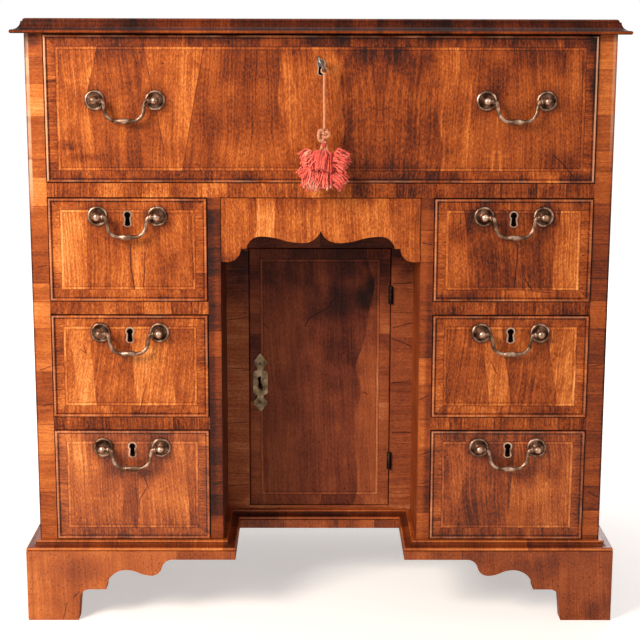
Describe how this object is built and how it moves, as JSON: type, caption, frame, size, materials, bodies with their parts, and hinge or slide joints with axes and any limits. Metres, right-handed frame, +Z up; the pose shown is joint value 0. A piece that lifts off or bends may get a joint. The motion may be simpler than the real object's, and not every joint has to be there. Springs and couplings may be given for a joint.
{
  "type": "kneehole desk",
  "caption": "Walnut-veneered kneehole desk with graduated drawers, a shaped apron drawer, a recessed cupboard with a hinged door, swan-neck handles and bracket feet.",
  "frame": {"origin": "on the floor, under the middle of the whole piece, the key's bow included", "axes": "+X to the right as seen from the front, +Y from the front to the back, +Z up"},
  "size_m": [0.8356, 0.5018, 0.848],
  "materials": {
    "walnut_veneer": "waxed walnut veneer",
    "cross_grain": "cross-grained walnut facing",
    "moulding": "cross-grained walnut moulding",
    "foot_veneer": "worn walnut veneer",
    "secondary_wood": "bare oak and pine",
    "drawer_veneer": "figured walnut veneer with banding",
    "door_veneer": "dark figured walnut veneer with banding",
    "brass": "aged brass",
    "iron": "dark wrought iron",
    "key_steel": "old steel",
    "tassel_yarn": "cotton yarn",
    "cord_yarn": "twisted cotton cord"
  },
  "bodies": {
    "carcass": {"top_board": "walnut_veneer", "top_moulding": "moulding", "left_side": "walnut_veneer", "right_side": "walnut_veneer", "left_kneehole_side": "walnut_veneer", "right_kneehole_side": "walnut_veneer", "back_boards": "secondary_wood", "stile_facings": "cross_grain", "drawer_rails": "cross_grain", "dust_boards": "secondary_wood", "bottom_boards": "secondary_wood", "drawer_stops": "secondary_wood", "cupboard_frame": "cross_grain", "frame_hinge_leaves": "iron", "base_moulding": "moulding", "plinth_strips": "foot_veneer", "front_left_foot": "foot_veneer", "front_right_foot": "foot_veneer", "back_feet": "foot_veneer", "foot_blocks": "secondary_wood"},
    "long_drawer": {"long_drawer_front": "drawer_veneer", "long_drawer_box": "secondary_wood", "long_drawer_fittings": "brass", "long_drawer_lock": "iron"},
    "long_drawer_left_bail": {"long_drawer_left_bail": "brass"},
    "long_drawer_right_bail": {"long_drawer_right_bail": "brass"},
    "lock_bolt": {"lock_bolt": "iron"},
    "key": {"key": "key_steel"},
    "tassel": {"tassel_cord": "cord_yarn", "tassel": "tassel_yarn"},
    "apron_drawer": {"apron_drawer_front": "drawer_veneer", "apron_drawer_box": "secondary_wood"},
    "cupboard_door": {"cupboard_door": "door_veneer", "door_fittings": "brass", "door_hinge_leaves": "iron"},
    "left_upper_drawer": {"left_upper_drawer_front": "drawer_veneer", "left_upper_drawer_box": "secondary_wood", "left_upper_drawer_fittings": "brass"},
    "left_upper_drawer_bail": {"left_upper_drawer_bail": "brass"},
    "left_middle_drawer": {"left_middle_drawer_front": "drawer_veneer", "left_middle_drawer_box": "secondary_wood", "left_middle_drawer_fittings": "brass"},
    "left_middle_drawer_bail": {"left_middle_drawer_bail": "brass"},
    "left_lower_drawer": {"left_lower_drawer_front": "drawer_veneer", "left_lower_drawer_box": "secondary_wood", "left_lower_drawer_fittings": "brass"},
    "left_lower_drawer_bail": {"left_lower_drawer_bail": "brass"},
    "right_upper_drawer": {"right_upper_drawer_front": "drawer_veneer", "right_upper_drawer_box": "secondary_wood", "right_upper_drawer_fittings": "brass"},
    "right_upper_drawer_bail": {"right_upper_drawer_bail": "brass"},
    "right_middle_drawer": {"right_middle_drawer_front": "drawer_veneer", "right_middle_drawer_box": "secondary_wood", "right_middle_drawer_fittings": "brass"},
    "right_middle_drawer_bail": {"right_middle_drawer_bail": "brass"},
    "right_lower_drawer": {"right_lower_drawer_front": "drawer_veneer", "right_lower_drawer_box": "secondary_wood", "right_lower_drawer_fittings": "brass"},
    "right_lower_drawer_bail": {"right_lower_drawer_bail": "brass"}
  },
  "joints": [
    {"name": "long_drawer_slide", "type": "slide", "parent": "carcass", "child": "long_drawer", "axis": [0, -1, 0], "range_m": [0, 0.3]},
    {"name": "long_drawer_left_bail_swing", "type": "hinge", "parent": "long_drawer", "child": "long_drawer_left_bail", "pos_m": [-0.2658, -0.2247, 0.739], "axis": [-1, 0, 0], "range_deg": [0, 100]},
    {"name": "long_drawer_right_bail_swing", "type": "hinge", "parent": "long_drawer", "child": "long_drawer_right_bail", "pos_m": [0.2658, -0.2247, 0.739], "axis": [-1, 0, 0], "range_deg": [0, 100]},
    {"name": "left_upper_drawer_slide", "type": "slide", "parent": "carcass", "child": "left_upper_drawer", "axis": [0, -1, 0], "range_m": [0, 0.3]},
    {"name": "left_upper_drawer_bail_swing", "type": "hinge", "parent": "left_upper_drawer", "child": "left_upper_drawer_bail", "pos_m": [-0.2658, -0.2247, 0.581], "axis": [-1, 0, 0], "range_deg": [0, 100]},
    {"name": "left_middle_drawer_slide", "type": "slide", "parent": "carcass", "child": "left_middle_drawer", "axis": [0, -1, 0], "range_m": [0, 0.3]},
    {"name": "left_middle_drawer_bail_swing", "type": "hinge", "parent": "left_middle_drawer", "child": "left_middle_drawer_bail", "pos_m": [-0.2658, -0.2247, 0.41775], "axis": [-1, 0, 0], "range_deg": [0, 100]},
    {"name": "left_lower_drawer_slide", "type": "slide", "parent": "carcass", "child": "left_lower_drawer", "axis": [0, -1, 0], "range_m": [0, 0.3]},
    {"name": "left_lower_drawer_bail_swing", "type": "hinge", "parent": "left_lower_drawer", "child": "left_lower_drawer_bail", "pos_m": [-0.2658, -0.2247, 0.252], "axis": [-1, 0, 0], "range_deg": [0, 100]},
    {"name": "right_upper_drawer_slide", "type": "slide", "parent": "carcass", "child": "right_upper_drawer", "axis": [0, -1, 0], "range_m": [0, 0.3]},
    {"name": "right_upper_drawer_bail_swing", "type": "hinge", "parent": "right_upper_drawer", "child": "right_upper_drawer_bail", "pos_m": [0.2658, -0.2247, 0.581], "axis": [-1, 0, 0], "range_deg": [0, 100]},
    {"name": "right_middle_drawer_slide", "type": "slide", "parent": "carcass", "child": "right_middle_drawer", "axis": [0, -1, 0], "range_m": [0, 0.3]},
    {"name": "right_middle_drawer_bail_swing", "type": "hinge", "parent": "right_middle_drawer", "child": "right_middle_drawer_bail", "pos_m": [0.2658, -0.2247, 0.41775], "axis": [-1, 0, 0], "range_deg": [0, 100]},
    {"name": "right_lower_drawer_slide", "type": "slide", "parent": "carcass", "child": "right_lower_drawer", "axis": [0, -1, 0], "range_m": [0, 0.3]},
    {"name": "right_lower_drawer_bail_swing", "type": "hinge", "parent": "right_lower_drawer", "child": "right_lower_drawer_bail", "pos_m": [0.2658, -0.2247, 0.252], "axis": [-1, 0, 0], "range_deg": [0, 100]},
    {"name": "apron_drawer_slide", "type": "slide", "parent": "carcass", "child": "apron_drawer", "axis": [0, -1, 0], "range_m": [0, 0.15]},
    {"name": "cupboard_door_hinge", "type": "hinge", "parent": "carcass", "child": "cupboard_door", "pos_m": [0.1052, -0.0727, 0.319], "axis": [0, 0, 1], "range_deg": [0, 95]},
    {"name": "key_turn", "type": "hinge", "parent": "long_drawer", "child": "key", "pos_m": [0, -0.2367, 0.7885], "axis": [0, 1, 0], "range_deg": [0, 90]},
    {"name": "lock_bolt_slide", "type": "slide", "parent": "long_drawer", "child": "lock_bolt", "axis": [0, 0, 1], "range_m": [0, 0.009]},
    {"name": "tassel_hang", "type": "hinge", "parent": "key", "child": "tassel", "pos_m": [0.00436, -0.2367, 0.77995], "axis": [0, 1, 0], "range_deg": [-91, 1]}
  ],
  "couplings": [
    {"joint": "lock_bolt_slide", "follows": "key_turn", "m_per_rad": 0.0057},
    {"joint": "tassel_hang", "follows": "key_turn", "ratio": -1}
  ]
}
